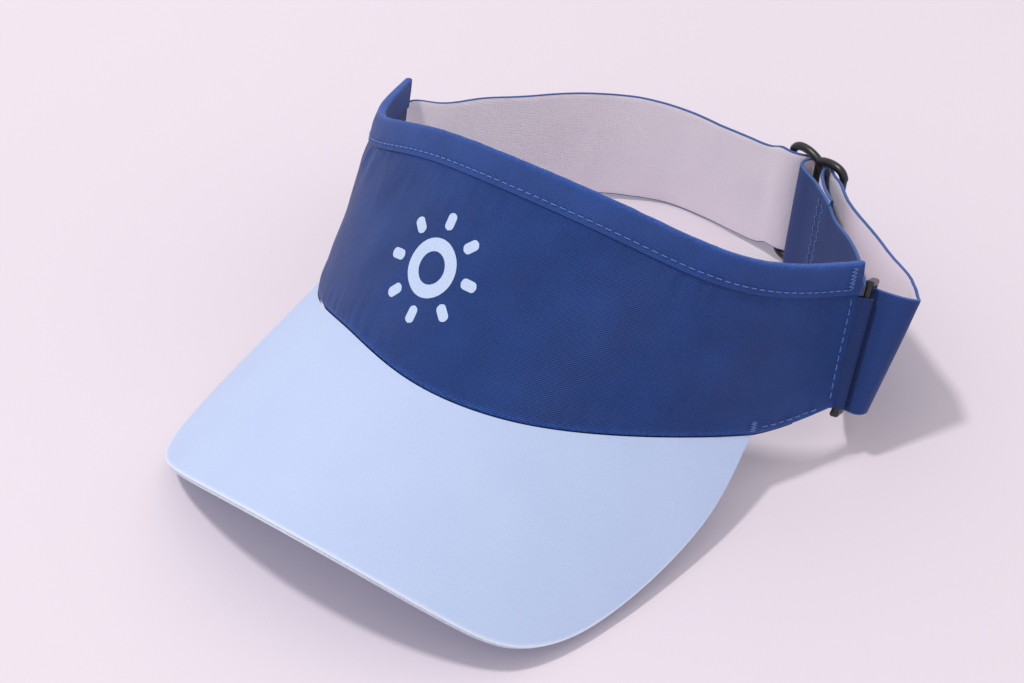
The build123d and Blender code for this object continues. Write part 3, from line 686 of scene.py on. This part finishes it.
def build_stitching():
    binding_face = lambda u, drop, tall: -(BINDING_THICK + 0.10)
    cloth_face = lambda u, drop, tall: -cloth_lift(u, drop, tall)
    top = threads("binding_topstitch_thread",
                  crown_stitches(-0.985, 0.985, lambda t: STITCH_ROW, binding_face), THREAD_BLUE)
    hem_row = (crown_stitches(BRIM_JOIN_LEFT + 0.02, HEM_END, lambda t: t - HEM_UP, cloth_face)
               + crown_stitches(-HEM_END, BRIM_JOIN_RIGHT - 0.02, lambda t: t - HEM_UP, cloth_face))
    hems = threads("hem_thread", hem_row, THREAD_BLUE)
    ends = threads("end_thread", crown_column(END_ROW, BINDING_TALL + 2.5, 2.5)
                   + crown_column(-END_ROW, BINDING_TALL + 2.5, 2.5), THREAD_BLUE)
    tacks = []
    for u in (-TACK_AT, TACK_AT):
        tacks += bartack(u, 0.6, 2.2, 7.0, -(BINDING_THICK + 0.35), 6)
    for u in (BRIM_JOIN_RIGHT, BRIM_JOIN_LEFT):
        tall = crown_frame(u)[2][0]
        tacks += bartack(u, tall - 4.6, 2.2, 3.4, -0.35, 4)
    locks = threads("bartack_thread", tacks, THREAD_BLUE, radius=FINE_THREAD)
    return top, hems, ends, locks


def emblem_grid(polar, lift=0.08):
    """Maps flat points (right, down) about the emblem's middle onto the panel's cloth."""
    flat = np.array(polar)
    scale = np.linalg.norm(crown_grid(np.array([EMBLEM_U + 0.01]), [EMBLEM_DOWN], 0.0)[0, 0]
                           - crown_grid(np.array([EMBLEM_U]), [EMBLEM_DOWN], 0.0)[0, 0]) / 0.01
    shape = flat.shape[:2]
    out = np.zeros(shape + (3,))
    cloth = np.zeros(shape + (3,))
    for i in range(shape[0]):
        for j in range(shape[1]):
            u = EMBLEM_U + flat[i, j, 0] / scale
            drop = EMBLEM_DOWN + flat[i, j, 1]
            tall = crown_frame(u)[2][0]
            depth = -cloth_lift(u, drop, tall) - lift
            out[i, j] = crown_grid(np.array([u]), [drop], depth)[0, 0]
            cloth[i, j] = (u * CROWN_LENGTH / 2, drop, 0)
    return out, cloth


def build_emblem():
    """A plain sun: a ring and short rounded rays, pressed on as a thin film."""
    shapes = []
    ring = [[(r * math.cos(a), r * math.sin(a)) for r in np.linspace(EMBLEM_DISC, EMBLEM_RING, 7)]
            for a in np.linspace(0, 2 * math.pi, 97)]
    shapes.append(ring)
    half = EMBLEM_RAY_WIDE / 2
    for k in range(EMBLEM_RAYS):
        turn = 2 * math.pi * k / EMBLEM_RAYS
        c, s = math.cos(turn), math.sin(turn)
        rows = []
        for f in np.linspace(0, 1, 17):
            along = EMBLEM_RAY_IN + (EMBLEM_RAY_OUT - EMBLEM_RAY_IN) * f
            near = min(along - EMBLEM_RAY_IN, EMBLEM_RAY_OUT - along)
            wide = half * math.sqrt(max(1 - max(1 - near / (half * 0.9), 0) ** 2, 0.004))
            rows.append([(along * c - w * s, along * s + w * c) for w in np.linspace(-wide, wide, 6)])
        shapes.append(rows)
    items = []
    for i, rows in enumerate(shapes):
        front, cloth = emblem_grid(rows)
        back, _ = emblem_grid(rows, -0.05)
        items.append(slab(f"emblem_{i}", front, back, cloth, [INK], flip=False))
    return join(items, "emblem_print")


def join(items, name):
    with bpy.context.temp_override(active_object=items[0], selected_editable_objects=items,
                                   selected_objects=items):
        bpy.ops.object.join()
    items[0].name = items[0].data.name = name
    return items[0]


# ---------------------------------------------------------------- brim
def brim_outline(count_across):
    """Points on the seam and on the outer edge for each column across the brim."""
    us = np.linspace(BRIM_JOIN_RIGHT, BRIM_JOIN_LEFT, count_across)
    low = crown_edges(us)[1]
    inward = crown_frame(us)[3]
    seam = low[:, :2] - unit(inward[:, :2]) * 0.15
    outer = np.array([tuple(seam[0])] + BRIM_OUTLINE + [tuple(seam[-1])])
    knots = np.concatenate([[0], np.cumsum(np.linalg.norm(np.diff(outer, axis=0), axis=1))])
    seam_knots = np.concatenate([[0], np.cumsum(np.linalg.norm(np.diff(seam, axis=0), axis=1))])
    edge = spline(outer, knots)(seam_knots / seam_knots[-1] * knots[-1])
    return seam, edge


def brim_points(xy, depth):
    """Points below the brim's top face by depth, square to the arch."""
    slope = -2 * BRIM_ARCH * xy[..., 0]
    size = np.hypot(1, slope)
    z = brim_height(xy[..., 0], xy[..., 1]) - depth / size
    return np.stack([xy[..., 0] + depth * slope / size, xy[..., 1], z], -1)


def build_brim_layer(name, near, far, material, inset=0.0):
    """One layer of the brim between two depths; inset draws its cut edge in."""
    seam, edge = brim_outline(BRIM_COLUMNS)
    share = np.concatenate([np.linspace(0, 0.965, BRIM_ROWS - 8), np.linspace(0.9685, 1, 8)])
    xy = seam[:, None] + (edge - seam)[:, None] * share[None, :, None]
    outward = unit(np.column_stack([np.gradient(edge[:, 1]), -np.gradient(edge[:, 0])]))
    xy[:, -1] -= outward * inset * np.sign((outward * (edge - edge.mean(0))).sum(1))[:, None]
    swell = np.array([[0.16 * wobble(x / 30, y / 30, 21) for x, y in row] for row in xy])
    front = brim_points(xy, near - swell)
    back = brim_points(xy, far - swell)
    soft = np.exp(-(1 - share) * 60)
    front[..., 2] -= soft[None] * 0.08 * (1 if near < 0.1 else 0)
    cloth = np.zeros(xy.shape[:2] + (3,))
    cloth[..., 0], cloth[..., 1] = xy[..., 0], xy[..., 1]
    cloth[..., 2] = np.exp(-((1 - share) * 90) ** 2)[None]
    return slab(name, front, back, cloth, [material], flip=True)


# ---------------------------------------------------------------- straps
def slider_axes():
    turn, lean = math.radians(SLIDER_TURN), math.radians(SLIDER_LEAN)
    along = np.array([math.cos(turn), math.sin(turn), 0])
    out = np.array([-math.sin(turn), math.cos(turn), 0])
    up = np.array([0, 0, math.cos(lean)]) + out * math.sin(lean)
    return along, np.cross(up, along), up


def ring_axes():
    top, down, _, inward, along = (v[0] for v in crown_frame(1.0))
    along = unit(along - down * along.dot(down))
    lean = math.radians(RING_LEAN)
    bar = down * math.cos(lean) - along * math.sin(lean)
    pivot = top + down * RING_DROP + inward * POCKET_MID + along * TAB_REACH
    x, y = RING_HEADING
    heading = unit(np.array([x, y, -(x * bar[0] + y * bar[1]) / bar[2]]))
    across = np.cross(-bar, heading)
    along = unit(along - bar * along.dot(bar))
    return pivot, heading, across * (1 if across[0] > 0 else -1), -bar, along, inward


SLIDER_ALONG, SLIDER_OUT, SLIDER_UP = slider_axes()
RING_PIVOT, RING_ALONG, RING_OUT, RING_UP, END_ALONG, END_INWARD = ring_axes()


def on_slider(place):
    return SLIDER_AT + SLIDER_ALONG * place[0] + SLIDER_OUT * place[1], -SLIDER_UP


def on_ring(place):
    along, out, taper = place
    top = RING_PIVOT + RING_ALONG * along + RING_OUT * out + RING_UP * STRAP_WIDE / 2
    down = unit(-RING_UP * STRAP_WIDE - RING_OUT * taper)
    return top + down * STRAP_WIDE / 2, down


def at_station(pair):
    top, aim = np.array(pair[0], float), np.array(pair[1], float)
    down = unit(aim - top)
    return top + down * STRAP_WIDE / 2, down


def at_end(end, drop, beyond, wide):
    top, down, _, inward, along = (v[0] for v in crown_frame(end))
    return top + down * (drop + wide / 2) + inward * POCKET_MID + along * (beyond * end), down


def band(name, sections, materials, wide=STRAP_WIDE, thick=STRAP_THICK, step=1.2, stretch=(0, -1),
         pressed=0.0, ripple=0.12):
    """A woven band through (middle, unit vector to its lower edge) sections: face one, face two.

    stretch picks the first and last section that are built, pressed is the length at its start that
    lies flat in a seam."""
    middles = np.array([m for m, _ in sections])
    knots = np.concatenate([[0], np.cumsum(np.linalg.norm(np.diff(middles, axis=0), axis=1))])
    first, last = knots[stretch[0]], knots[stretch[1]]
    at = np.linspace(first, last, math.ceil((last - first) / step) + 1)
    curve = spline(middles, knots)
    path = curve(at)
    downs = np.array([d for _, d in sections])
    down = unit(np.column_stack([np.interp(at, knots, downs[:, k]) for k in range(3)]))
    way = unit(curve(at + 0.05) - curve(at - 0.05))
    side = unit(np.cross(way, down))
    half, round_edge = wide / 2, thick * 0.42
    ring = [(x, 1.0) for x in np.linspace(half - round_edge, -half + round_edge, BAND_ACROSS)]
    ring += [(-half + round_edge * (1 - math.sin(a)), math.cos(a)) for a in BAND_EDGE]
    ring += [(x, -1.0) for x in np.linspace(-half + round_edge, half - round_edge, BAND_ACROSS)]
    ring += [(half - round_edge * (1 - math.sin(a)), -math.cos(a)) for a in BAND_EDGE]
    rings, cloth = [], []
    for p, d, n, s in zip(path, down, side, at - first):
        flat = min(1.0, 0.55 + 0.45 * max(s - pressed, 0) / 3) if pressed else 1.0
        row, flat_row = [], []
        calm = max(0.0, min(1.0, s / 8, (last - first - s) / 8))
        for x, face in ring:
            curl = calm * (ripple * wobble(s / 9, x / 14, 31) + 0.05 * wobble(s / 2.2, x / 30, 32))
            cup = 0.25 * (abs(x) / half) ** 4 * calm
            row.append(p + d * x + n * (face * thick / 2 * flat + curl * flat - cup * flat * 0.4))
            flat_row.append((s + first, x, 0))
        rings.append(row)
        cloth.append(flat_row)
    edge_one = BAND_ACROSS + len(BAND_EDGE)
    inner_last = edge_one + BAND_ACROSS - 1

    def face_of(j):
        return 1 if edge_one <= j < inner_last and len(materials) > 1 else 0

    return tube(name, np.array(rings), np.array(cloth), materials, face_of, sharp=75)


def strap_chain():
    """Every section of the elastic, from its sewn end to its end loop, and where each run starts."""
    runs = [[at_end(-1.0, STRAP_DROP, beyond, STRAP_WIDE) for beyond in (-3.0, 0.0, 2.5)],
            [at_station(p) for p in BACK_RUN], [on_slider(p) for p in THREADED],
            [at_station(p) for p in OUTER_LEG], [on_ring(p) for p in RING_TURN],
            [at_station(p) for p in INNER_LEG], [on_slider(p) for p in END_LOOP]]
    starts = np.cumsum([0] + [len(run) for run in runs])
    return [section for run in runs for section in run], starts


def build_straps():
    """The elastic's stretches; the cuts are where it changes body."""
    faces = [WEB_NAVY, WEB_PALE]
    chain, starts = strap_chain()
    cuts = [0, starts[2], starts[3] - 1, starts[3] + OUTER_CUT, starts[5], starts[6], len(chain) - 1]
    looks = {"strap_back": (1.2, 0.12, 4.0), "strap_in_slider": (0.7, 0.0, 0.0),
             "strap_outer": (1.2, 0.12, 0.0), "strap_ring_turn": (0.8, 0.12, 0.0),
             "strap_inner": (1.2, 0.12, 0.0), "strap_loop": (0.6, 0.0, 0.0)}
    made = {}
    for (name, (step, ripple, pressed)), first, last in zip(looks.items(), cuts, cuts[1:]):
        made[name] = band(name, chain, faces, step=step, stretch=(first, last), pressed=pressed,
                          ripple=ripple)
    return made


def build_tab():
    """The ring's tab: webbing out of the crown's end, round the ring's near bar and back."""
    middle_drop = TAB_DROP + TAB_WIDE / 2
    centre = RING_PIVOT + RING_UP * (RING_DROP - middle_drop)
    radius = RING_BAR + HINGE_GAP + TAB_THICK / 2
    roots = [at_end(1.0, TAB_DROP, beyond, TAB_WIDE) for beyond in (-2.5, -0.4)]
    sections = [(p - END_INWARD * 0.43, down) for p, down in roots]
    for a in np.linspace(115, -115, 9):
        angle = math.radians(a)
        sections.append((centre + (END_ALONG * math.cos(angle) - END_INWARD * math.sin(angle)) * radius,
                         -RING_UP))
    sections += [(p + END_INWARD * 0.43, down) for p, down in roots[::-1]]
    return band("ring_tab_webbing", sections, [TAB_NAVY], wide=TAB_WIDE, thick=TAB_THICK, step=0.5,
                ripple=0.0)


def build_loop_thread():
    """Zigzag that sews the strap's end flap down, seen on the strap's inner face."""
    face = unit(on_slider(END_LOOP[0])[0] - on_slider(END_LOOP[1])[0])
    out = unit(np.cross(SLIDER_UP, face))
    out = out if out.dot(SLIDER_OUT) < 0 else -out
    rows = []
    for shift in (0.0, 3.6):
        base = on_slider((14.6 + shift, -13.22 - shift * 0.54))[0]
        for i in range(18):
            low = -17.0 + 1.9 * i
            swing = 0.8 if i % 2 else -0.8
            p = base + SLIDER_UP * low + face * swing
            q = base + SLIDER_UP * (low + 1.9) - face * swing
            path = [p + (q - p) * f + out * (STRAP_THICK / 2 + 0.05 + 0.14 * math.sin(math.pi * f))
                    for f in np.linspace(0, 1, 5)]
            rows.append((path, out))
    return threads("loop_thread", rows, THREAD_BLUE, radius=FINE_THREAD)


# ---------------------------------------------------------------- stage, light and camera
CAMERA_AZIMUTH, CAMERA_ELEVATION, CAMERA_ROLL = 36.65, 39.364, -0.709
CAMERA_DISTANCE, CAMERA_TARGET, CAMERA_LENS = 589.2, np.array([3.595, -53.79, 30.9]), 65.25
KEY_PLACE, KEY_AIM = np.array([-830.0, -600.0, 2640.0]), np.array([0, -40, 30])
KEY_SIZE, KEY_POWER, WORLD_STRENGTH = 0.30, 35.0, 0.80  # metres, watts
FLOOR_SIZE, FLOOR_DROP = 6.0, 0.0003                # metres


def build_camera():
    a, e, r = (math.radians(v) for v in (CAMERA_AZIMUTH, CAMERA_ELEVATION, CAMERA_ROLL))
    back = np.array([math.sin(a) * math.cos(e), -math.cos(a) * math.cos(e), math.sin(e)])
    level = np.array([math.cos(a), math.sin(a), 0])
    up = np.cross(back, level)
    right = math.cos(r) * level + math.sin(r) * up
    up = np.cross(back, right)
    data = bpy.data.cameras.new("camera")
    data.lens, data.sensor_width, data.clip_start = CAMERA_LENS, 36.0, 0.01
    camera = bpy.data.objects.new("camera", data)
    place = to_row(CAMERA_TARGET + back * CAMERA_DISTANCE)
    rows = np.column_stack([right, up, back, place]).tolist()
    camera.matrix_world = Matrix(rows + [[0, 0, 0, 1]])
    bpy.context.scene.collection.objects.link(camera)
    bpy.context.scene.camera = camera


def area_light(name, place, aim, size, power, colour):
    data = bpy.data.lights.new(name, "AREA")
    data.shape, data.size, data.energy, data.color = "DISK", size, power, colour
    lamp = bpy.data.objects.new(name, data)
    lamp.location = to_row(place)
    direction = Vector(to_row(aim) - to_row(place))
    lamp.rotation_euler = direction.to_track_quat("-Z", "Y").to_euler()
    bpy.context.scene.collection.objects.link(lamp)


def build_stage():
    floor_shader = Shader("pale_floor", Specular_IOR_Level=0.25, Roughness=0.7)
    place = floor_shader.node("TexCoord", output="Object")
    cloud = floor_shader.noise(place, 1.5, 2.0)
    colour = floor_shader.mix(floor_shader.span(cloud, 0.3, 0.7), srgb(219, 209, 219), srgb(223, 213, 223))
    floor_shader.finish(colour)
    bpy.ops.mesh.primitive_plane_add(size=FLOOR_SIZE, location=(0, 0, -FLOOR_DROP))
    floor = bpy.context.object
    floor.name = "floor"
    floor.data.materials.append(floor_shader.material)
    world = bpy.data.worlds.new("studio")
    world.use_nodes = True
    world.node_tree.nodes["Background"].inputs[0].default_value = (1.0, 0.985, 1.0, 1.0)
    world.node_tree.nodes["Background"].inputs[1].default_value = WORLD_STRENGTH
    bpy.context.scene.world = world
    area_light("key", KEY_PLACE, KEY_AIM, KEY_SIZE, KEY_POWER, (1.0, 0.985, 0.97))
    bpy.context.scene.view_settings.view_transform = "Standard"


# ---------------------------------------------------------------- put it together
def dress(item, body, slot, *nodes):
    """The piece rides on a body and stands for CAD nodes, which it hides; the slot argument is not used."""
    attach(item, body)
    if nodes:
        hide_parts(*nodes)


def cross(item, a, b, start, end, slot, *nodes):
    """The piece's transform is baked into its mesh and the CAD nodes it stands for are hidden; a, b, start,
    end and slot are not used.
    """
    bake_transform(item)
    if nodes:
        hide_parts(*nodes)


def inset(place, towards):
    """A point moved along the strap until the whole of place's section lies behind it."""
    middle, down = place
    way = unit(towards[0] - middle)
    return middle + way * (abs(down.dot(way)) * STRAP_WIDE / 2 + STRAP_THICK)


def stretch_between(name, a, b, *nodes):
    """The stretch of the strap between section a and section b, handed to cross, which bakes it and hides its
    CAD nodes.
    """
    cross(straps[name], "root", "slider", inset(a, b), inset(b, a), "elastic_webbing", *nodes)


build_camera()
build_stage()
panel = build_crown_panel()
dress(panel, "root", "navy_twill", "crown_outer_panel")
stiffener = build_layer("crown_stiffening", 0.56, STIFFENER - 0.1, 0.6, lambda t: t - 1.6, STIFF_WHITE,
                        -STIFFENER_END, STIFFENER_END)
dress(stiffener, "root", "stiffener", "crown_stiffener")
lining = build_layer("crown_lining_cloth", LINING_AT, LINING, 0.1, lambda t: t - 0.5, NAVY_INSIDE,
                     -0.998, 0.998)
dress(lining, "root", "lining_cloth", "crown_lining")
sweatband = build_sweatband()
dress(sweatband, "root", "sweatband_cloth", "sweatband")
binding = build_binding()
dress(binding, "root", "navy_binding", "top_binding")
emblem = build_emblem()
dress(emblem, "root", "pale_print", "emblem_film")
topstitch, hem_thread, end_thread, locks = build_stitching()
dress(topstitch, "root", "blue_thread", "binding_topstitch")
dress(hem_thread, "root", "blue_thread", "hem_stitches")
dress(end_thread, "root", "blue_thread", "end_stitches")
dress(locks, "root", "blue_thread", "bartacks")

core_at = BRIM_TOP + LAYER_GAP
under_at = core_at + BRIM_CORE + LAYER_GAP
brim_top = build_brim_layer("brim_top_cloth", 0.0, core_at, BRIM_BLUE)
dress(brim_top, "root", "light_blue_cover", "brim_top_cover")
brim_core = build_brim_layer("brim_board_layer", core_at, under_at, BRIM_PALE, inset=0.12)
dress(brim_core, "root", "brim_board", "brim_core")
brim_under = build_brim_layer("brim_under_cloth", under_at, under_at + BRIM_UNDER, BRIM_BLUE)
dress(brim_under, "root", "light_blue_cover", "brim_under_cover")

straps = build_straps()
stretch_between("strap_back", at_station(BACK_RUN[6]), on_slider(THREADED[0]), "back_strap")
dress(straps["strap_in_slider"], "slider", "elastic_webbing", "strap_threaded")
stretch_between("strap_outer", at_station(OUTER_LEG[OUTER_CUT]), on_slider(THREADED[-1]), "strap_outer_leg")
stretch_between("strap_inner", at_station(INNER_LEG[0]), on_slider(END_LOOP[0]), "strap_inner_leg")
dress(straps["strap_loop"], "slider", "elastic_webbing", "strap_end_loop")
cross(straps["strap_ring_turn"], "root", "ring", on_ring((12.0, 0, 0))[0], on_ring((8.5, 0, 0))[0],
      "elastic_webbing")
tab = build_tab()
dress(tab, "root", "navy_binding", "ring_tab")
loop_thread = build_loop_thread()
dress(loop_thread, "slider", "blue_thread", "loop_stitches")

for node in ("ring", "slider"):
    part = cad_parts[node]
    for slot in part.material_slots:
        slot.material = BLACK
